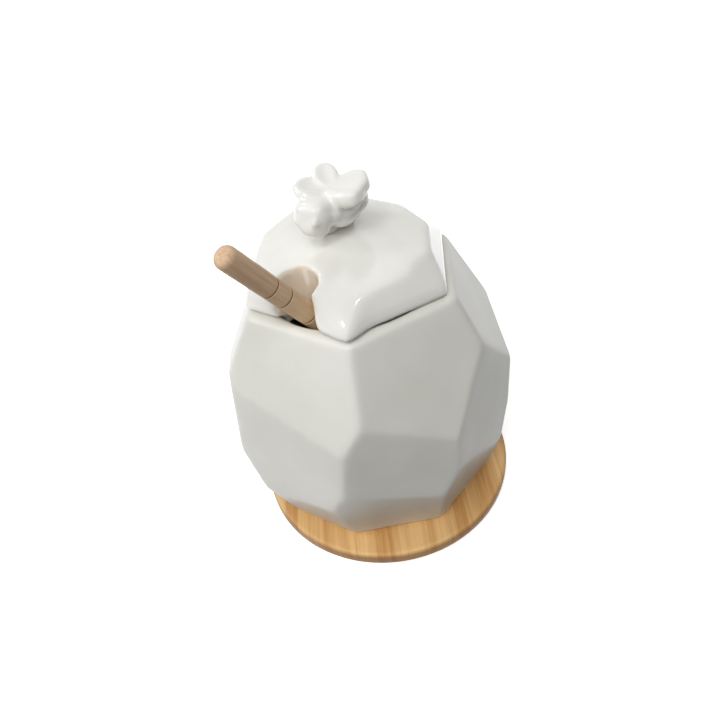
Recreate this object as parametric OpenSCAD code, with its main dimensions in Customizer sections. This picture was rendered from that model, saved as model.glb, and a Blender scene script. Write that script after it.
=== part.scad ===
// Faceted ceramic honey pot with a lift-off lid, a bee knob, a wooden dipper
// and a round wooden coaster. Millimetres. Z is up, the dipper leans towards
// -Y, and the origin is the middle of the coaster's underside.

/* [Coaster] */
// Diameter of the coaster
coaster_d = 100; // [60:1:140]
// Thickness of the coaster
coaster_h = 6; // [3:0.5:15]
// Radius that breaks the coaster's edges
coaster_round = 1.8; // [0.2:0.1:2.4]
// How far the pot stands from the middle of the coaster, along X
pot_x = -1; // [-5:0.5:5]
// How far the pot stands from the middle of the coaster, along Y
pot_y = -1.9; // [-5:0.1:5]

/* [Pot] */
// Height of the pot from its foot to its rim
pot_h = 91.2; // [70:0.2:120]
// Distance from the pot's axis to a plain facet of the belly
belly_r = 47; // [40:0.5:60]
// Height of the belly's widest line above the foot
belly_z = 39; // [30:0.5:50]
// Distance from the pot's axis to each side of the six-sided rim
rim_side = 31.9; // [31.6:0.1:40]
// Radius of the round mouth
mouth_r = 28; // [24:0.2:28]
// Depth of the straight part of the mouth
mouth_depth = 6; // [3:0.5:10]
// Wall behind a plain facet of the belly
belly_wall = 4.4; // [3:0.2:7]
// Thickness of the pot's floor
floor_t = 6; // [3:0.5:10]
// Width of the foot ring under the pot
foot_ring_w = 7; // [3:0.5:12]
// Depth of the hollow inside the foot ring
foot_hollow = 1.2; // [0.5:0.1:3]

/* [Lid] */
// Distance from the lid's axis to each of its six sides
lid_side = 31.1; // [28:0.1:31.5]
// Height of the lid's upright edge
lid_edge_h = 3.4; // [1:0.1:5]
// Height above the rim at which the crown facets would meet
crown_h = 14.8; // [13:0.2:20]
// Height of the flat spot on top of the lid above the rim
lid_top_h = 14.4; // [12:0.2:20]
// Thickness of the lid's roof
lid_roof = 4.6; // [3:0.2:7]
// Thickness of the locating ring under the lid
ring_t = 4; // [2.5:0.1:6]
// Depth of the locating ring below the rim
ring_depth = 5; // [2:0.5:9]
// Clearance round the locating ring in the mouth
ring_gap = 1.8; // [0.8:0.1:3]
// How far the lid sits to one side of the mouth
lid_x = -1.2; // [-1.4:0.1:1.4]
// Turn of the lid on the rim
lid_turn = -2; // [-5:0.5:5]
// Width of the notch for the dipper
notch_w = 12; // [11:0.2:14]
// How far the notch leans to one side, from upright
notch_lean = 12; // [0:1:15]
// Distance from the lid's axis to the round end of the notch
notch_in = 17.6; // [14:0.2:18]
// How far the notch sits to one side of the lid's axis
notch_x = 2; // [-2:0.2:3]
// Wall round the notch inside the lid
notch_wall = 4; // [2:0.1:5]
// Space between the notch and the ends of the locating ring
notch_relief = 3; // [1:0.5:5]

/* [Bee knob] */
// Height of the bee's body above the lid
body_h = 14.6; // [8:0.5:16]
// How far the bee stands to one side of the lid's axis
bee_x = -1.4; // [-4:0.2:4]
// How far the bee stands from the lid's axis, away from the notch
bee_y = 0.8; // [-4:0.2:4]
// Turn of the bee from the notch side
bee_turn = -6; // [-60:1:60]
// Radius of the bee's body
body_r = 5.4; // [3.5:0.1:6]
// Length of the bee's body behind its middle
body_back = 4.5; // [2:0.5:8]
// Radius of the bee's head
head_r = 5; // [3:0.1:6]
// Distance from the bee's middle to its head
head_out = 8; // [4:0.1:9]
// Thickness of the wings
wing_t = 4.2; // [2:0.1:5]
// How far the wings rise towards their tips
wing_rise = 20; // [0:1:45]

/* [Dipper] */
// Diameter of the dipper's handle
handle_d = 6.8; // [5:0.1:9]
// Length of the dipper from end to end
dipper_len = 139.4; // [120:0.2:170]
// Radius that rounds the handle's free end
end_round = 2.4; // [0.5:0.1:3]
// Lean of the dipper from upright
dipper_lean = 33; // [25:0.5:38]
// Turn of the dipper's lean from the notch side
dipper_turn = -15; // [-25:1:10]
// How far the handle crosses the rim to one side of the pot's axis
rest_x = 0; // [-1:0.1:1]
// Diameter of the dipper's ridged head
dip_head_d = 22; // [16:0.5:26]
// Length of the ridged head
dip_head_len = 32; // [20:1:40]
// Radius of the dipper's rounded tip
tip_r = 8; // [5:0.1:9]
// Number of ridges round the head
ridge_n = 6; // [3:1:8]
// Depth of the grooves between the ridges
ridge_depth = 4.5; // [2:0.1:7]
// Depth of the ring grooves on the handle
ring_cut = 0.5; // [0.2:0.1:1]
// Distance of the first ring groove from the handle's end
ring_first = 19.5; // [10:0.5:30]
// Distance from the first ring groove to the second
ring_next = 6.5; // [4:0.5:12]
// Distance from the second ring groove to the third
ring_last = 12; // [4:0.5:20]
// Clearance of the dipper from the rim and the floor it rests on
rest_gap = 0.3; // [0.1:0.1:1]

/* [Hidden] */
$fn = 96;

// Lean of the six facets that rise to the rim, from upright
upper_tilts = [24, 25, 26, 25, 24, 29];
// Wings of the bee: turn from its right side, length, width
wings = [[-10, 13, 8.6], [38, 11.2, 7.8], [150, 11, 7.8], [203, 11, 8]];
// Belly facets: azimuth from -Y, lean, distance beyond belly_r
belly_facets = [
    [-4, 6, -0.3], [45, 0, -0.1], [90, 1, -0.8], [132, -2, 3.6],
    [182, 4, 1], [226, 3, 1], [268, 4, 3], [314, 8, 3.5]
];
// Foot facets: azimuth from -Y, lean, distance beyond belly_r
foot_facets = [
    [38, -17, -0.1], [80, -14, 0.4], [128, -17, 5], [172, -16, 2.5],
    [218, -17, 2.5], [264, -17, 1.5], [310, -18, 1.4], [2, -19, 2.6]
];

// Lean of the lid's six lower facets, from upright
lower_tilts = [27, 32, 32, 30, 26, 25];
// Corner facets of the lid: azimuth from -Y, lean, distance from its centre
corner_facets = [
    [30, 50, 25.4], [90, 50, 25.4], [150, 50, 25.6],
    [210, 48, 26.6], [270, 45, 27.6], [330, 48, 26.6]
];
// Crown facets of the lid: azimuth from -Y, slope
crown_facets = [[48, 9.5], [108, 8], [168, 5], [228, 2], [288, 2], [348, 6]];

side_n = 6;
side_turn = 360 / side_n;
blank_r = 2 * belly_r;
rim_z = coaster_h + pot_h;
skin = 0.01;

// Inside of the pot: an arc from the belly to the mouth
inner_r = belly_r - belly_wall;
arc_rise = pot_h - mouth_depth - belly_z;
arc_in = inner_r - mouth_r;
arc_r = (arc_rise * arc_rise + arc_in * arc_in) / (2 * arc_in);
foot_r = (belly_r + foot_facets[0][2] + belly_z * sin(foot_facets[0][1])) / cos(foot_facets[0][1]);

// Locating ring of the lid
ring_r = mouth_r - ring_gap;
hollow_r = ring_r - ring_t;
hollow_round = 4;
ball_fn = 24;

// Dipper: it leans on the mouth's edge and stands on the floor
handle_r = handle_d / 2;
rest_r = mouth_r - handle_r / cos(dipper_lean) - rest_gap;
rest_y = sqrt(rest_r * rest_r - rest_x * rest_x);
tip_z = coaster_h + floor_t + tip_r + rest_gap;
tip_run = (rim_z - tip_z) / cos(dipper_lean);
ridge_pitch = dip_head_len / ridge_n;
ridge_w = 0.55 * ridge_pitch;
ring_places = [ring_first, ring_first + ring_next, ring_first + ring_next + ring_last];

// Everything beyond one facet's plane. The plane stands d from the point
// [0, 0, z] and faces azimuth az, leaning in by tilt.
module beyond(az, tilt, d, z) {
    size = 4 * blank_r;
    translate([0, 0, z])
        rotate([0, 0, az])
            rotate([-tilt, 0, 0])
                translate([-size / 2, -d - size, -size / 2])
                    cube(size);
}

module pot_blank() {
    difference() {
        cylinder(r = blank_r, h = pot_h);
        for (k = [0:side_n - 1])
            beyond(k * side_turn, upper_tilts[k], rim_side * cos(upper_tilts[k]), pot_h);
        for (f = belly_facets)
            beyond(f[0], f[1], belly_r + f[2], belly_z);
        for (f = foot_facets)
            beyond(f[0], f[1], belly_r + f[2], belly_z);
    }
}

module pot_inside() {
    rotate_extrude()
        intersection() {
            translate([inner_r - arc_r, belly_z])
                circle(arc_r);
            translate([0, floor_t])
                square([inner_r, pot_h - mouth_depth - floor_t]);
        }
    translate([0, 0, pot_h - mouth_depth - skin])
        cylinder(r = mouth_r, h = mouth_depth + 1);
}

module coaster() {
    flat_r = coaster_d / 2 - coaster_round;
    color("burlywood")
        rotate_extrude()
            union() {
                square([flat_r, coaster_h]);
                translate([0, coaster_round])
                    square([coaster_d / 2, coaster_h - 2 * coaster_round]);
                translate([flat_r, coaster_round])
                    circle(coaster_round);
                translate([flat_r, coaster_h - coaster_round])
                    circle(coaster_round);
            }
}

module pot_body() {
    color("gainsboro")
        translate([pot_x, pot_y, coaster_h])
            difference() {
                pot_blank();
                pot_inside();
                translate([0, 0, -1])
                    cylinder(r = foot_r - foot_ring_w, h = 1 + foot_hollow);
            }
}

module lid_blank() {
    difference() {
        cylinder(r = blank_r, h = lid_top_h);
        for (k = [0:side_n - 1]) {
            beyond(k * side_turn, 0, lid_side, 0);
            beyond(k * side_turn, lower_tilts[k], lid_side * cos(lower_tilts[k]), lid_edge_h);
        }
        for (f = corner_facets)
            beyond(f[0], f[1], f[2], 0);
        for (f = crown_facets)
            beyond(f[0], 90 - f[1], crown_h * cos(f[1]), 0);
    }
}

module lid_hollow() {
    hollow_h = lid_top_h - lid_roof;
    rotate_extrude()
        union() {
            square([hollow_r, hollow_h - hollow_round]);
            square([hollow_r - hollow_round, hollow_h]);
            translate([hollow_r - hollow_round, hollow_h - hollow_round])
                circle(hollow_round);
        }
}

// The notch, seen from above, is a slot with a round end
module notch(grow, z0, z1) {
    r = notch_w / 2 + grow;
    end_y = -(notch_in + notch_w / 2);
    translate([notch_x, end_y, 0])
        rotate([0, -notch_lean, 0]) {
            translate([0, 0, z0])
                cylinder(r = r, h = z1 - z0);
            translate([-r, -lid_side, z0])
                cube([2 * r, lid_side, z1 - z0]);
        }
}

module locating_ring() {
    difference() {
        translate([0, 0, -ring_depth])
            cylinder(r = ring_r, h = ring_depth + 1);
        translate([0, 0, -ring_depth - 1])
            cylinder(r = hollow_r, h = ring_depth + 3);
        notch(notch_relief, -ring_depth - 2, ring_depth);
    }
}

module lid() {
    color("whitesmoke")
        translate([pot_x + lid_x, pot_y, rim_z])
            rotate([0, 0, lid_turn])
                difference() {
                    union() {
                        difference() {
                            lid_blank();
                            difference() {
                                translate([0, 0, -skin])
                                    lid_hollow();
                                notch(notch_wall, -ring_depth, lid_top_h);
                            }
                        }
                        locating_ring();
                    }
                    notch(0, -ring_depth - 1, lid_top_h + 1);
                }
}

module ball(r) {
    sphere(r, $fn = ball_fn);
}

// One wing, from its root at the origin out and up
module wing(turn, len, width) {
    rotate([0, -wing_rise, turn])
        hull() {
            ball(wing_t / 2);
            translate([len - width / 2, 0, 0])
                scale([1, 1, wing_t / width])
                    ball(width / 2);
        }
}

module bee_knob() {
    head_z = 0.64 * body_h;
    chin = 0.4 * head_r;
    body_z = body_h - body_r;
    root_y = 0.2 * body_r;
    color("white")
        translate([pot_x + lid_x + bee_x, pot_y + bee_y, rim_z + lid_top_h])
            rotate([0, 0, bee_turn]) {
                hull() {
                    translate([0, -head_out, head_z])
                        ball(head_r);
                    translate([0, -head_out - chin, head_z - chin])
                        ball(head_r - 0.3 * chin);
                }
                hull() {
                    translate([0, -0.4 * body_r, body_z])
                        ball(body_r);
                    translate([0, body_back, 0.8 * body_z])
                        ball(0.9 * body_r);
                    cylinder(r = 0.8 * body_r, h = body_z);
                }
                for (w = wings)
                    translate([0, root_y * sign(sin(w[0])), body_h - wing_t / 2])
                        wing(w[0], w[1], w[2]);
            }
}

module dipper_profile() {
    end_z = dipper_len - tip_r;
    square([handle_r, end_z - end_round]);
    square([handle_r - end_round, end_z]);
    intersection() {
        translate([handle_r - end_round, end_z - end_round])
            circle(end_round);
        translate([0, end_z - 2 * end_round])
            square(2 * end_round);
    }
    intersection() {
        circle(tip_r);
        translate([0, -tip_r])
            square([tip_r, 2 * tip_r]);
    }
    for (k = [0:ridge_n - 1])
        translate([0, k * ridge_pitch]) {
            r = ridge_radius(k);
            square([r - ridge_w / 2, ridge_w]);
            translate([r - ridge_w / 2, ridge_w / 2])
                circle(ridge_w / 2);
        }
    square([dip_head_d / 2 - ridge_depth, dip_head_len - ridge_pitch]);
}

// Ridges swell from the tip to the middle of the head and fall again
function ridge_radius(k) =
    dip_head_d / 2 * (0.78 + 0.22 * sin(180 * (k + 0.5) / ridge_n));

module handle_ring(s) {
    translate([0, 0, s])
        rotate_extrude()
            translate([handle_r, 0])
                circle(ring_cut, $fn = 24);
}

module dipper() {
    color("tan")
        translate([pot_x + rest_x, pot_y - rest_y, rim_z])
            rotate([0, 0, dipper_turn])
                rotate([dipper_lean, 0, 0])
                    translate([0, 0, -tip_run])
                        difference() {
                            rotate_extrude()
                                dipper_profile();
                            for (s = ring_places)
                                handle_ring(dipper_len - tip_r - s);
                        }
}

coaster();
pot_body();
lid();
bee_knob();
dipper();
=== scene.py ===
import math

import bmesh
import bpy
import numpy as np
from mathutils import Matrix, Vector


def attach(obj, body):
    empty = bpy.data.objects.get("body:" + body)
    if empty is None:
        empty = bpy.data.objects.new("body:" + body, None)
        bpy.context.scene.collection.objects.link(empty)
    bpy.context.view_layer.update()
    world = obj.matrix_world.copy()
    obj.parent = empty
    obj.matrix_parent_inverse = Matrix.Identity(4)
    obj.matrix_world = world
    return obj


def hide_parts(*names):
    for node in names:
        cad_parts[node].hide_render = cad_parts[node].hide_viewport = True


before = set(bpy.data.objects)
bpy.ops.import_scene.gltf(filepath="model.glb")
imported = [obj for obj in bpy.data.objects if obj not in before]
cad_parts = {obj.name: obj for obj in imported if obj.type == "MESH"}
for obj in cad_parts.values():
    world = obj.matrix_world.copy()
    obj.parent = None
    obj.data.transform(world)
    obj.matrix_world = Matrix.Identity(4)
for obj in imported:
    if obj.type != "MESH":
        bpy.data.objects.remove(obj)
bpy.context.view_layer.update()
print("frame loaded")

mm = 0.001  # lengths below are in millimetres unless a note says otherwise
white = (1.0, 1.0, 1.0, 1.0)


def hexToLinear(code):
    # sRGB hex to the linear colour that the shaders take
    parts = [int(code[i : i + 2], 16) / 255 for i in (1, 3, 5)]
    linear = [p / 12.92 if p <= 0.04045 else ((p + 0.055) / 1.055) ** 2.4 for p in parts]
    return (*linear, 1.0)


def addNode(tree, kind, settings=None, links=None, stops=()):
    # one node: its settings by attribute or input name, what feeds it, and the
    # two stops of a colour ramp
    node = tree.nodes.new(kind)
    for key, value in (settings or {}).items():
        if isinstance(key, int) or key in node.inputs:
            node.inputs[key].default_value = value
        else:
            setattr(node, key, value)
    for key, socket in (links or {}).items():
        tree.links.new(socket, node.inputs[key])
    for k, (place, code) in enumerate(stops):
        node.color_ramp.elements[k].position = place
        node.color_ramp.elements[k].color = hexToLinear(code)
    return node


def perMm(size):
    # texture scale for a feature of this size, in object coordinates of metres
    return 1 / (size * mm)


def newMaterial(name):
    material = bpy.data.materials.new(name)
    material.use_nodes = True
    tree = material.node_tree
    shader = tree.nodes["Principled BSDF"]
    place = addNode(tree, "ShaderNodeTexCoord").outputs["Object"]
    return material, tree, shader, place


def dressShader(tree, shader, values, colour, height):
    # what every surface here has: colour, gloss, and a fine relief from height
    relief = addNode(
        tree,
        "ShaderNodeBump",
        {"Strength": values["reliefStrength"], "Distance": values["relief"] * mm},
        {"Height": height},
    )
    tree.links.new(relief.outputs["Normal"], shader.inputs["Normal"])
    tree.links.new(colour, shader.inputs["Base Color"])
    shader.inputs["Roughness"].default_value = values["roughness"]
    shader.inputs["IOR"].default_value = values["ior"]


def meshObject(name, vertices, faces):
    mesh = bpy.data.meshes.new(name)
    mesh.from_pydata(vertices, [], faces)
    mesh.update()
    piece = bpy.data.objects.new(name, mesh)
    bpy.context.scene.collection.objects.link(piece)
    return piece


def copyNode(nodeName, name):
    piece = bpy.data.objects.new(name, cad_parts[nodeName].data.copy())
    bpy.context.scene.collection.objects.link(piece)
    return piece


def voxelRemesh(piece, size):
    # one closed skin over everything in the piece, in even quads
    modifier = piece.modifiers.new("skin", "REMESH")
    modifier.mode = "VOXEL"
    modifier.voxel_size = size * mm
    evaluated = piece.evaluated_get(bpy.context.evaluated_depsgraph_get())
    mesh = bpy.data.meshes.new_from_object(evaluated)
    piece.modifiers.clear()
    old = piece.data
    piece.data = mesh
    bpy.data.meshes.remove(old)


def readPoints(piece):
    points = np.zeros(len(piece.data.vertices) * 3)
    piece.data.vertices.foreach_get("co", points)
    return points.reshape(-1, 3)


def writePoints(piece, points):
    piece.data.vertices.foreach_set("co", points.ravel())
    piece.data.update()


def moved(points, matrix):
    turned = np.array(matrix.to_3x3())
    return points @ turned.T + np.array(matrix.translation)


def soften(piece, steps, weight=1.0):
    # each step moves a point half way to the middle of its neighbours, or less
    # where its weight is below 1
    points = readPoints(piece)
    edges = np.zeros(len(piece.data.edges) * 2, dtype=np.int64)
    piece.data.edges.foreach_get("vertices", edges)
    first, second = edges.reshape(-1, 2).T
    count = len(points)
    neighbours = np.bincount(first, minlength=count) + np.bincount(second, minlength=count)
    share = 0.5 * np.broadcast_to(weight, count)[:, None]
    for _ in range(steps):
        middle = np.empty_like(points)
        for axis in range(3):
            column = points[:, axis]
            middle[:, axis] = np.bincount(first, column[second], count)
            middle[:, axis] += np.bincount(second, column[first], count)
        middle /= neighbours[:, None]
        points += share * (middle - points)
    writePoints(piece, points)


def arc(middle, height, radius, start, end, steps):
    # a round in a profile, by angles in degrees from straight outwards
    angles = [math.radians(start + (end - start) * k / steps) for k in range(steps + 1)]
    return [(middle + radius * math.cos(a), height + radius * math.sin(a)) for a in angles]


def lathe(name, profile, steps):
    # profile: (radius, height) pairs from the lower pole to the upper one
    vertices = []
    for radius, height in profile[1:-1]:
        for k in range(steps):
            turn = 2 * math.pi * k / steps
            x, y = radius * math.cos(turn), radius * math.sin(turn)
            vertices.append((x * mm, y * mm, height * mm))
    rows = len(profile) - 2
    top = (rows - 1) * steps
    lowPole = len(vertices)
    highPole = lowPole + 1
    vertices.append((0, 0, profile[0][1] * mm))
    vertices.append((0, 0, profile[-1][1] * mm))
    faces = []
    for k in range(steps):
        after = (k + 1) % steps
        faces.append((lowPole, after, k))
        faces.append((highPole, top + k, top + after))
        for row in range(rows - 1):
            a, b = row * steps, (row + 1) * steps
            faces.append((a + k, a + after, b + after, b + k))
    return meshObject(name, vertices, faces)


def finishPiece(piece, material, body, nodeName):
    piece.data.materials.clear()
    piece.data.materials.append(material)
    piece.data.polygons.foreach_set("use_smooth", [True] * len(piece.data.polygons))
    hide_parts(nodeName)
    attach(piece, body)
    print(piece.name, "made,", len(piece.data.vertices), "points")


def directionTo(azimuth, elevation):
    # towards a place, by degrees from -Y and degrees above the floor
    turn, rise = math.radians(azimuth), math.radians(elevation)
    flat = math.cos(rise)
    return Vector((math.sin(turn) * flat, -math.cos(turn) * flat, math.sin(rise)))


# Camera, at the photograph's viewing angle
view = {
    "lens": 30.0,
    "sensor": 36,
    "photoWidth": 720,  # pixels
    "azimuth": 36.09,
    "elevation": 51.41,
    "roll": -9.0,
    "distance": 262.9,
    "right": 26.7,  # where the model's origin shows, in pixels right of the middle
    "below": 97.3,  # and below it
    "nearest": 10,
}


def makeCamera():
    turn, roll = math.radians(view["azimuth"]), math.radians(view["roll"])
    back = directionTo(view["azimuth"], view["elevation"])
    right = Vector((math.cos(turn), math.sin(turn), 0))
    up = back.cross(right)
    rolledRight = right * math.cos(roll) + up * math.sin(roll)
    rolledUp = up * math.cos(roll) - right * math.sin(roll)
    # swing the view so that the origin shows at its pixel
    focal = view["photoWidth"] * view["lens"] / view["sensor"]
    aim = Vector((view["right"] / focal, -view["below"] / focal, -1))
    swing = Vector((0, 0, -1)).rotation_difference(aim).to_matrix()
    place = (swing @ Matrix((rolledRight, rolledUp, back))).transposed().to_4x4()
    place.translation = back * view["distance"] * mm
    data = bpy.data.cameras.new("camera")
    data.lens = view["lens"]
    data.sensor_width = view["sensor"]
    data.clip_start = view["nearest"] * mm
    camera = bpy.data.objects.new("camera", data)
    camera.matrix_world = place
    bpy.context.scene.collection.objects.link(camera)
    bpy.context.scene.camera = camera


makeCamera()
print("camera set")

# Glaze: what the pot's and the lid's have in common
glazing = {
    "poolSize": 28,
    "poolEdges": (0.35, 0.65),  # noise values of the thick and the thin glaze
    "speck": "#8F887A",  # iron in the clay
    "speckSpacing": 9,
    "speckRadius": 0.405,
    "speckDepth": 0.28,  # how much of its colour comes through the glaze
    "waveSize": 7,
    "coatRoughness": 0.04,
}

# Pot: slip-cast stoneware, dipped in a satin white glaze
pot = {
    "voxel": 0.8,
    "soften": 14,
    "glaze": "#E4E3DC",
    "glazeShade": "#DCDBD2",
    "roughness": 0.34,
    "ior": 1.52,
    "coat": 0.0,
    "relief": 0.1,
    "reliefStrength": 0.35,
}


def glazeMaterial(name, values):
    # glaze: a glassy skin over pale clay, which gives soft wide highlights when
    # satin and thin bright ones when glossy; it pools a little, shows faint waves
    # and lets small iron specks through
    material, tree, shader, place = newMaterial(name)
    poolScale = perMm(glazing["poolSize"])
    pools = addNode(
        tree, "ShaderNodeTexNoise", {"Scale": poolScale, "Detail": 3.0}, {"Vector": place}
    )
    thick, thinner = glazing["poolEdges"]
    colour = addNode(
        tree,
        "ShaderNodeValToRGB",
        links={"Fac": pools.outputs["Fac"]},
        stops=[(thick, values["glazeShade"]), (thinner, values["glaze"])],
    ).outputs["Color"]
    specks = addNode(
        tree,
        "ShaderNodeTexVoronoi",
        {"Scale": perMm(glazing["speckSpacing"])},
        {"Vector": place},
    )
    speckEdge = glazing["speckRadius"] / glazing["speckSpacing"]
    speckMask = addNode(
        tree,
        "ShaderNodeMapRange",
        {"From Min": 0.0, "From Max": speckEdge, "To Min": glazing["speckDepth"], "To Max": 0.0},
        {"Value": specks.outputs["Distance"]},
    )
    colour = addNode(
        tree,
        "ShaderNodeMix",
        {"data_type": "RGBA", 7: hexToLinear(glazing["speck"])},
        {0: speckMask.outputs["Result"], 6: colour},
    ).outputs[2]
    # painted shade, warm as from the wood's bounce light, where the mesh marks the lid's notch
    # wall
    if "notchShade" in values:
        paintedShade = addNode(tree, "ShaderNodeAttribute", {"attribute_name": "notchShade"})
        colour = addNode(
            tree,
            "ShaderNodeMix",
            {"data_type": "RGBA", 7: hexToLinear(values["notchShade"])},
            {0: paintedShade.outputs["Fac"], 6: colour},
        ).outputs[2]
    waveScale = perMm(glazing["waveSize"])
    waves = addNode(
        tree, "ShaderNodeTexNoise", {"Scale": waveScale, "Detail": 2.0}, {"Vector": place}
    )
    dressShader(tree, shader, values, colour, waves.outputs["Fac"])
    shader.inputs["Coat Weight"].default_value = values["coat"]
    shader.inputs["Coat Roughness"].default_value = glazing["coatRoughness"]
    return material


def makePot():
    piece = copyNode("pot_body", "pot")
    voxelRemesh(piece, pot["voxel"])
    soften(piece, pot["soften"])
    material = glazeMaterial("satin glazed stoneware", pot)
    finishPiece(piece, material, "pot", "pot_body")


makePot()

# Lid: the same clay under a glossy clear-white glaze
lid = {
    "voxel": 0.5,
    "soften": 44,
    "middle": (-2.2, -1.9, 97.2),  # its axis where its edge rests on the rim
    "turn": -2,
    "ringRadius": 27.5,  # what is inside this and below ringTop is the locating
    "ringTop": 0.5,  # ring and the hollow, with heights from where the edge rests
    "ringShare": 0.03,  # how much of the softening they get
    "notchAt": (2, -23.6),  # middle of the notch's round end
    "notchRadius": 6,
    "notchLean": 12,
    "lipShare": 0.5,  # the notch's upper edge stays crisper than the rest
    "lipWidth": 3,
    "toeSoften": 110,  # further softening of the two toes beside the notch
    "toeWidth": 18,  # how far the toes reach from the notch
    "toeInside": 27,  # and how near the middle of the lid
    "toeFade": 2,
    "corner": (17.5, -31.5),  # the right toe's corner stands out a little further
    "cornerShift": (3.4, -1.2, 0),
    "cornerSpread": 8,
    "notchShade": "#DBCDB8",  # painted shade on the notch's wall, warm as from the wood's bounce light
    "notchShadeOverlap": 0.5,  # how far the painted shade reaches past the notch's wall
    "notchShadeFade": 0.6,
    "notchShadeEnd": 1,  # and past the notch's round end
    "notchShadeBottom": -1,  # height, as for ringTop
    "glaze": "#EFEEE8",
    "glazeShade": "#E8E7E0",
    "roughness": 0.16,
    "ior": 1.52,
    "coat": 1.0,
    "relief": 0.12,
    "reliefStrength": 0.35,
}


def makeLid():
    piece = copyNode("lid", "lid")
    voxelRemesh(piece, lid["voxel"])
    place = Matrix.Translation(lid["middle"])
    place @= Matrix.Rotation(math.radians(lid["turn"]), 4, "Z")
    notchPlace = Matrix.Translation((*lid["notchAt"], 0))
    notchPlace @= Matrix.Rotation(math.radians(-lid["notchLean"]), 4, "Y")
    # the lid's own coordinates, and how far each point is from the notch's wall
    points = moved(readPoints(piece) / mm, place.inverted())
    fromAxis = np.hypot(points[:, 0], points[:, 1])
    underRing = (points[:, 2] < lid["ringTop"]) & (fromAxis < lid["ringRadius"])
    slot = moved(points, notchPlace.inverted())
    across = np.where(slot[:, 1] > 0, np.hypot(slot[:, 0], slot[:, 1]), np.abs(slot[:, 0]))
    fromWall = np.abs(across - lid["notchRadius"])
    # round the cast edges
    weight = np.clip(fromWall / lid["lipWidth"], lid["lipShare"], 1)
    weight[underRing] = lid["ringShare"]
    soften(piece, lid["soften"], weight)
    # bring out the right toe's corner
    reach = np.hypot(points[:, 0] - lid["corner"][0], points[:, 1] - lid["corner"][1])
    share = np.exp(-((reach / lid["cornerSpread"]) ** 2)) * ~underRing
    writePoints(piece, readPoints(piece) + share[:, None] * np.array(lid["cornerShift"]) * mm)
    # round the toes further, wholly over the half of their width next to the notch
    toes = np.clip((fromAxis - lid["toeInside"]) / lid["toeFade"], 0, 1)
    toes *= np.clip(2 - 2 * fromWall / lid["toeWidth"], 0, 1)
    toes[underRing] = 0
    soften(piece, lid["toeSoften"], toes)
    # painted shade on the notch's wall, warm as from the wood's bounce light
    wallEdge = lid["notchRadius"] + lid["notchShadeOverlap"]
    notchEnd = lid["notchRadius"] + lid["notchShadeEnd"]
    inNotch = np.clip((wallEdge - across) / lid["notchShadeFade"], 0, 1)
    inNotch *= (points[:, 2] > lid["notchShadeBottom"]) & (slot[:, 1] < notchEnd)
    paintedShade = piece.data.attributes.new("notchShade", "FLOAT", "POINT")
    paintedShade.data.foreach_set("value", inNotch)
    material = glazeMaterial("glossy glazed stoneware", lid)
    finishPiece(piece, material, "lid", "lid")
    return material


lidGlaze = makeLid()

# Bee: pressed in a small mould, stuck on with slip and dipped in the lid's glaze
bee = {
    "voxel": 0.28,
    "soften": 32,
    "foot": (-3.6, -1.1, 111.6),  # where its middle stands on the lid
    # lumps: middle, half sizes, and how round they are (1 is an ellipsoid)
    "lumps": [
        ((-1.5, -8.2, 10.0), (5.7, 4.8, 4.8), 0.72),  # head
        ((-1.2, -9.0, 7.6), (4.9, 4.4, 4.4), 0.88),  # chin
        ((-5.4, -11.2, 8.9), (1.6, 1.5, 1.8), 1.0),  # cheeks
        ((1.8, -12.5, 10.0), (1.3, 1.2, 1.6), 1.0),
        ((0.4, -3.6, 9.6), (5.4, 5.4, 5.2), 1.0),  # neck
        ((1.4, 1.4, 7.6), (5.8, 7.0, 5.4), 0.9),  # body
        ((2.6, 5.6, 8.6), (5.4, 5.2, 4.6), 0.95),  # tail
        ((-3.0, 0.8, 4.0), (3.8, 6.2, 5.4), 0.95),  # belly, which sits on the lid
        ((-2.2, 5.0, 3.2), (4.2, 5.0, 6.0), 0.9),
        ((-0.2, -0.2, 12.0), (4.2, 4.0, 3.2), 1.0),  # back
    ],
    "lumpSteps": (40, 24),  # round and from pole to pole
    # wings: root, tip, width, thickness, depth of the dish on top, roundness
    "wings": [
        ((1.4, -1.2, 12.8), (-10.3, -4.2, 16.0), 11.6, 4.6, 1.5, 0.8),
        ((0.8, -1.4, 12.8), (-7.8, 7.4, 17.4), 8.4, 4.8, 1.4, 0.84),
        ((-1.4, -0.8, 12.8), (9.0, 7.2, 15.2), 12.6, 5.2, 0.6, 0.64),
        ((-0.8, -2.2, 12.8), (11.4, -0.6, 14.2), 9.6, 5.6, 0.6, 0.58),
    ],
    "wingSteps": (48, 32),
    # shares of a wing's half length and width, from its middle
    "rootWidth": 0.55,
    "tipGain": 0.45,  # what the width gains on the way to the tip
    "flareLength": 1.3,
    "dishMiddle": 0.1,
    "dishSpread": 0.6,
}


def addBall(shape, steps):
    around, up = steps
    return bmesh.ops.create_uvsphere(shape, u_segments=around, v_segments=up, radius=1)["verts"]


def rounded(point, roundness):
    return [math.copysign(abs(c) ** roundness, c) for c in point]


def addLump(shape, centre, radii, roundness):
    for vertex in addBall(shape, bee["lumpSteps"]):
        p = rounded(vertex.co, roundness)
        vertex.co = Vector(centre[k] + p[k] * radii[k] for k in range(3))


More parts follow.
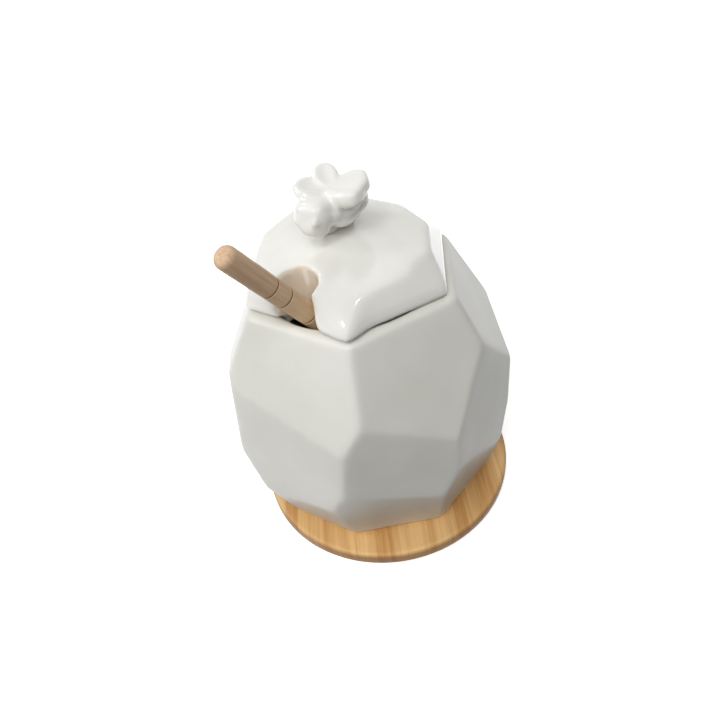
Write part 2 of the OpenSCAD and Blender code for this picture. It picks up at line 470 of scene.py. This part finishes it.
def addWing(shape, root, tip, width, thickness, dish, roundness):
    # narrow at its root, broad and round near its tip, and hollowed on top
    root = Vector(root)
    length = (Vector(tip) - root).length
    along = (Vector(tip) - root).normalized()
    side = Vector((0, 0, 1)).cross(along).normalized()
    up = along.cross(side)
    spread = bee["dishSpread"]
    for vertex in addBall(shape, bee["wingSteps"]):
        a, b, c = rounded(vertex.co, roundness)
        flare = min(1.0, (a + 1) / bee["flareLength"])
        flare = bee["rootWidth"] + bee["tipGain"] * flare * flare * (3 - 2 * flare)
        hollow = 0.0
        if c > 0:
            hollow = max(0.0, 1 - (a - bee["dishMiddle"]) ** 2 / spread - b * b / spread)
        place = root + along * (a + 1) * length / 2 + side * b * flare * width / 2
        vertex.co = place + up * (c * thickness / 2 - dish * hollow)


def makeBee():
    shape = bmesh.new()
    for lump in bee["lumps"]:
        addLump(shape, *lump)
    for wing in bee["wings"]:
        addWing(shape, *wing)
    bmesh.ops.translate(shape, verts=shape.verts, vec=bee["foot"])
    bmesh.ops.scale(shape, verts=shape.verts, vec=(mm, mm, mm))
    piece = meshObject("bee", [], [])
    shape.to_mesh(piece.data)
    shape.free()
    voxelRemesh(piece, bee["voxel"])
    soften(piece, bee["soften"])
    finishPiece(piece, lidGlaze, "lid", "bee_knob")


makeBee()

# Dipper: turned beech, sanded and left unfinished
dipper = {
    "seat": (-1.0, -25.546, 97.2),  # where its axis crosses the rim's height
    "lean": 33,
    "turn": -15,
    "run": 91.69,  # from the rim's height down to the middle of the tip
    "length": 139.4,
    "radius": 3.4,
    "tip": 8,
    "endRound": 2.4,
    "rings": (19.5, 26.0, 38.0),  # ring grooves, from the free end
    "ringDepth": 0.4,
    "ringEdges": (0.6, 0.3, 0.06),  # half widths above, at and in a groove
    "ridges": 6,
    "headRadius": 11,
    "headLength": 32,
    "ridgeDepth": 4.5,
    "ridgeShare": 0.55,  # how much of its pitch a ridge fills
    "outerRidge": 0.78,  # the head swells from this share of its radius
    "swell": 0.22,
    "valleyRise": 0.5,  # little coves beside each ridge
    "valleyRun": 0.4,
    "neckRise": 0.6,  # and where the head meets the handle
    "neckRun": 0.7,
    "steps": 96,
    "light": "#DEBF9F",
    "dark": "#C9A382",
    "grainEdges": (0.35, 0.65),  # noise values of the dark and the light grain
    "grainWidth": 1.2,
    "grainStretch": 0.06,  # the grain runs this much slower along the wood
    "paintedLight": "#F3D6AC",  # painted light on the handle toward the notch, against the shade of the lid's lips
    "paintedLightShare": 0.75,
    "paintedLightFade": (34, 14),  # from the free end, where the painted light fades out
    "groove": "#8A6044",  # darker colour in the ring grooves
    "grooveReach": 0.25,
    "roughness": 0.62,
    "ior": 1.5,
    "relief": 0.08,
    "reliefStrength": 0.6,
}


def dipperProfile():
    radius, tip = dipper["radius"], dipper["tip"]
    end = dipper["length"] - tip  # heights count from the middle of the tip's round
    profile = [(0, -tip)]
    profile += arc(0, 0, tip, -90, 0, 12)[1:-1]
    pitch = dipper["headLength"] / dipper["ridges"]
    width = dipper["ridgeShare"] * pitch
    core = dipper["headRadius"] - dipper["ridgeDepth"]
    rise, run = dipper["valleyRise"], dipper["valleyRun"]
    for k in range(dipper["ridges"]):
        across = math.sin(math.pi * (k + 0.5) / dipper["ridges"])
        swell = dipper["outerRidge"] + dipper["swell"] * across
        middle = dipper["headRadius"] * swell - width / 2
        profile += arc(middle, k * pitch + width / 2, width / 2, -90, 90, 8)
        if k < dipper["ridges"] - 1:
            profile += [
                (core + rise, k * pitch + width),
                (core, k * pitch + width + run),
                (core, (k + 1) * pitch - run),
                (core + rise, (k + 1) * pitch),
            ]
    neck = (dipper["ridges"] - 1) * pitch + width
    profile += [(radius + dipper["neckRise"], neck), (radius, neck + dipper["neckRun"])]
    outer, edge, inner = dipper["ringEdges"]
    floor = radius - dipper["ringDepth"]
    grooves = sorted(end - place for place in dipper["rings"])
    for place in grooves:
        profile += [
            (radius, place - outer),
            (radius, place - edge),
            (floor, place - inner),
            (floor, place + inner),
            (radius, place + edge),
            (radius, place + outer),
        ]
    rounding = dipper["endRound"]
    profile += arc(radius - rounding, end - rounding, rounding, 0, 90, 9)
    profile.append((0, end))
    return profile, grooves


def beechMaterial(grooves):
    # beech: fine straight grain along the wood, pinkish brown, and matt because
    # it is sanded and has no varnish
    material, tree, shader = newMaterial("sanded beech")[:3]
    turned = addNode(tree, "ShaderNodeAttribute", {"attribute_name": "turned"}).outputs["Vector"]
    stretched = addNode(
        tree,
        "ShaderNodeMapping",
        {"Scale": (1.0, 1.0, dipper["grainStretch"])},
        {"Vector": turned},
    ).outputs["Vector"]
    grain = addNode(
        tree,
        "ShaderNodeTexNoise",
        {"Scale": perMm(dipper["grainWidth"]), "Detail": 4.0},
        {"Vector": stretched},
    ).outputs["Fac"]
    darkEdge, lightEdge = dipper["grainEdges"]
    colour = addNode(
        tree,
        "ShaderNodeValToRGB",
        links={"Fac": grain},
        stops=[(darkEdge, dipper["dark"]), (lightEdge, dipper["light"])],
    ).outputs["Color"]
    height = addNode(tree, "ShaderNodeSeparateXYZ", links={"Vector": turned}).outputs["Z"]
    end = dipper["length"] - dipper["tip"]
    # painted light: the wood is lighter from the head to the grip and fades out toward the free
    # end
    fadeFrom, fadeTo = ((end - place) * mm for place in dipper["paintedLightFade"])
    paintedLightMask = addNode(
        tree,
        "ShaderNodeMapRange",
        {"From Min": fadeFrom, "From Max": fadeTo, "To Min": dipper["paintedLightShare"], "To Max": 0.0},
        {"Value": height},
    ).outputs["Result"]
    colour = addNode(
        tree,
        "ShaderNodeMix",
        {"data_type": "RGBA", 7: hexToLinear(dipper["paintedLight"])},
        {0: paintedLightMask, 6: colour},
    ).outputs[2]
    for groove in grooves:
        inGroove = addNode(
            tree,
            "ShaderNodeMath",
            {"operation": "COMPARE", 1: groove * mm, 2: dipper["grooveReach"] * mm},
            {0: height},
        ).outputs["Value"]
        colour = addNode(
            tree,
            "ShaderNodeMix",
            {"data_type": "RGBA", 7: hexToLinear(dipper["groove"])},
            {0: inGroove, 6: colour},
        ).outputs[2]
    dressShader(tree, shader, dipper, colour, grain)
    return material


def makeDipper():
    profile, grooves = dipperProfile()
    piece = lathe("dipper", profile, dipper["steps"])
    place = Matrix.Translation(Vector(dipper["seat"]) * mm)
    place @= Matrix.Rotation(math.radians(dipper["turn"]), 4, "Z")
    place @= Matrix.Rotation(math.radians(dipper["lean"]), 4, "X")
    place @= Matrix.Translation((0, 0, -dipper["run"] * mm))
    # the wood keeps the coordinates it was turned in, so its grain runs along it
    own = readPoints(piece)
    turned = piece.data.attributes.new("turned", "FLOAT_VECTOR", "POINT")
    turned.data.foreach_set("vector", own.ravel())
    writePoints(piece, moved(own, place))
    finishPiece(piece, beechMaterial(grooves), "dipper", "dipper")


makeDipper()

# Coaster: edge-glued bamboo board, turned round, with a thin clear finish
coaster = {
    "radius": 50,
    "thickness": 6,
    "round": 1.8,
    "rings": 12,  # how many the flat faces are divided into
    "steps": 192,
    "grain": -36,  # degrees from the strips' direction to +Y
    "light": "#E2B97F",
    "dark": "#C08C50",
    "shadeEdges": (0.36, 0.6),  # noise values of the dark and the light bamboo
    "fibreWidth": 1.1,
    "stripWidth": 5,
    "stripShare": 0.6,  # how much of the shade comes from strips, not fibres
    "stretch": (1.0, 0.03, 0.2),  # fibres and strips run this much slower along
    "endGrainAndShade": "#BFAF9A",  # darkens the edge: end grain, where the finish soaks in, and painted shade on the upright side
    "edgeFade": (0.1, 0.8),  # upward part of the normal, from edge to top
    "roughness": 0.45,
    "ior": 1.5,
    "relief": 0.05,
    "reliefStrength": 0.4,
}


def coasterProfile():
    radius, high, rounding = coaster["radius"], coaster["thickness"], coaster["round"]
    flat = [radius * k / coaster["rings"] for k in range(1, coaster["rings"])]
    profile = [(0, 0)]
    profile += [(r, 0) for r in flat]
    profile += arc(radius - rounding, rounding, rounding, -90, 0, 6)
    profile += arc(radius - rounding, high - rounding, rounding, 0, 90, 6)
    profile += [(r, high) for r in reversed(flat)]
    profile.append((0, high))
    return profile


def bambooMaterial():
    # bamboo: thin straight strips glued side by side, each with its own shade,
    # and fine dark fibres along them; satin, because its clear finish is thin
    material, tree, shader, place = newMaterial("edge glued bamboo")
    turned = addNode(
        tree,
        "ShaderNodeMapping",
        {"Rotation": (0.0, 0.0, math.radians(coaster["grain"]))},
        {"Vector": place},
    ).outputs["Vector"]
    along = addNode(
        tree, "ShaderNodeMapping", {"Scale": coaster["stretch"]}, {"Vector": turned}
    ).outputs["Vector"]
    fibres = addNode(
        tree,
        "ShaderNodeTexNoise",
        {"Scale": perMm(coaster["fibreWidth"]), "Detail": 4.0},
        {"Vector": along},
    ).outputs["Fac"]
    strips = addNode(
        tree,
        "ShaderNodeTexNoise",
        {"Scale": perMm(coaster["stripWidth"]), "Detail": 1.0},
        {"Vector": along},
    ).outputs["Fac"]
    shade = addNode(
        tree,
        "ShaderNodeMix",
        {"data_type": "FLOAT", 0: coaster["stripShare"]},
        {2: fibres, 3: strips},
    ).outputs[0]
    darkEdge, lightEdge = coaster["shadeEdges"]
    colour = addNode(
        tree,
        "ShaderNodeValToRGB",
        links={"Fac": shade},
        stops=[(darkEdge, coaster["dark"]), (lightEdge, coaster["light"])],
    ).outputs["Color"]
    normal = addNode(tree, "ShaderNodeTexCoord").outputs["Normal"]
    upward = addNode(tree, "ShaderNodeSeparateXYZ", links={"Vector": normal}).outputs["Z"]
    edgeEnd, topStart = coaster["edgeFade"]
    top = addNode(
        tree,
        "ShaderNodeMapRange",
        {"From Min": edgeEnd, "From Max": topStart},
        {"Value": upward},
    ).outputs["Result"]
    # the upright edge is darkened, partly end grain and partly painted shade
    endGrainAndShade = hexToLinear(coaster["endGrainAndShade"])
    darkened = addNode(
        tree,
        "ShaderNodeMix",
        {"data_type": "RGBA", "blend_type": "MULTIPLY", 0: 1.0, 7: endGrainAndShade},
        {6: colour},
    ).outputs[2]
    colour = addNode(
        tree, "ShaderNodeMix", {"data_type": "RGBA"}, {0: top, 6: darkened, 7: colour}
    ).outputs[2]
    dressShader(tree, shader, coaster, colour, fibres)
    return material


def makeCoaster():
    piece = lathe("coaster", coasterProfile(), coaster["steps"])
    finishPiece(piece, bambooMaterial(), "coaster", "coaster")


makeCoaster()

# Studio: a white floor in faint white surroundings, three softboxes that shade the
# facets, and four lamps whose reflections are the glaze's highlights
studio = {
    "sky": 0.16,  # light from straight above, which falls evenly to the horizon's
    "horizon": 0.04,
    "floorReach": 3000,
    "floorBounce": "#383736",  # what the floor gives back to the object
    "floorGlow": 0.5,  # lifts the floor to white for the camera round the shadow
    "glowFade": (120, 600),  # distances over which that glow grows to 1
    "aimHeight": 60,  # the lamps point at this height on the pot's axis
    # lamps: azimuth from -Y and elevation, distance, length and width, watts,
    # and whether the glaze shows their reflection
    "lamps": {
        "top softbox": (24, 55, 800, 560, 560, 3.5, False),
        "left softbox": (-30, 28, 800, 560, 560, 1.6, False),
        "back softbox": (198, 16, 800, 560, 560, 2.4, False),
        "window": (-58, 35, 900, 90, 300, 1.3, True),
        "top lamp": (10, 58, 900, 110, 110, 0.7, True),
        "right ceiling lamp": (83, 64, 900, 70, 70, 0.3, True),
        "left ceiling lamp": (-107, 50, 900, 70, 70, 0.3, True),
    },
}


def seenMask(tree):
    # 1 where the camera sees the surroundings, directly, mirrored or through glass
    path = addNode(tree, "ShaderNodeLightPath")
    mask = path.outputs["Is Camera Ray"]
    for ray in ("Is Glossy Ray", "Is Transmission Ray"):
        mask = addNode(
            tree, "ShaderNodeMath", {"operation": "MAXIMUM"}, {0: mask, 1: path.outputs[ray]}
        ).outputs["Value"]
    return mask


def makeFloor():
    reach = studio["floorReach"] * mm
    corners = [(-reach, -reach, 0), (reach, -reach, 0), (reach, reach, 0), (-reach, reach, 0)]
    floor = meshObject("floor", corners, [(0, 1, 2, 3)])
    material, tree, shader, place = newMaterial("white studio floor")
    seen = seenMask(tree)
    colour = addNode(
        tree,
        "ShaderNodeMix",
        {"data_type": "RGBA", 6: hexToLinear(studio["floorBounce"]), 7: white},
        {0: seen},
    ).outputs[2]
    tree.links.new(colour, shader.inputs["Base Color"])
    away = addNode(
        tree, "ShaderNodeVectorMath", {"operation": "LENGTH"}, {0: place}
    ).outputs["Value"]
    near, far = (distance * mm for distance in studio["glowFade"])
    level = addNode(
        tree,
        "ShaderNodeMapRange",
        {"From Min": near, "From Max": far, "To Min": studio["floorGlow"], "To Max": 1.0},
        {"Value": away},
    ).outputs["Result"]
    glow = addNode(tree, "ShaderNodeMath", {"operation": "MULTIPLY"}, {0: seen, 1: level})
    tree.links.new(glow.outputs["Value"], shader.inputs["Emission Strength"])
    shader.inputs["Emission Color"].default_value = white
    shader.inputs["Roughness"].default_value = 1.0
    shader.inputs["Specular IOR Level"].default_value = 0.0
    floor.data.materials.append(material)


def makeSurroundings():
    world = bpy.data.worlds.new("studio")
    world.use_nodes = True
    bpy.context.scene.world = world
    tree = world.node_tree
    tree.nodes.clear()
    direction = addNode(tree, "ShaderNodeTexCoord").outputs["Generated"]
    height = addNode(tree, "ShaderNodeSeparateXYZ", links={"Vector": direction}).outputs["Z"]
    strength = addNode(
        tree,
        "ShaderNodeMapRange",
        {"From Min": 0.0, "From Max": 1.0, "To Min": studio["horizon"], "To Max": studio["sky"]},
        {"Value": height},
    ).outputs["Result"]
    strength = addNode(
        tree, "ShaderNodeMath", {"operation": "MAXIMUM"}, {0: seenMask(tree), 1: strength}
    ).outputs["Value"]
    light = addNode(tree, "ShaderNodeBackground", {"Color": white}, {"Strength": strength})
    addNode(tree, "ShaderNodeOutputWorld", links={"Surface": light.outputs["Background"]})


def makeLamps():
    target = Vector((0, 0, studio["aimHeight"] * mm))
    for name, values in studio["lamps"].items():
        azimuth, elevation, distance, length, width, watts, reflected = values
        data = bpy.data.lights.new(name, "AREA")
        data.shape = "RECTANGLE"
        data.energy = watts
        data.size = length * mm
        data.size_y = width * mm
        lamp = bpy.data.objects.new(name, data)
        lamp.visible_glossy = reflected
        towards = directionTo(azimuth, elevation)
        lamp.matrix_world = (-towards).to_track_quat("-Z", "Y").to_matrix().to_4x4()
        lamp.location = target + towards * distance * mm
        bpy.context.scene.collection.objects.link(lamp)


makeFloor()
makeSurroundings()
makeLamps()
bpy.context.scene.view_settings.view_transform = "Standard"
print("studio lit")
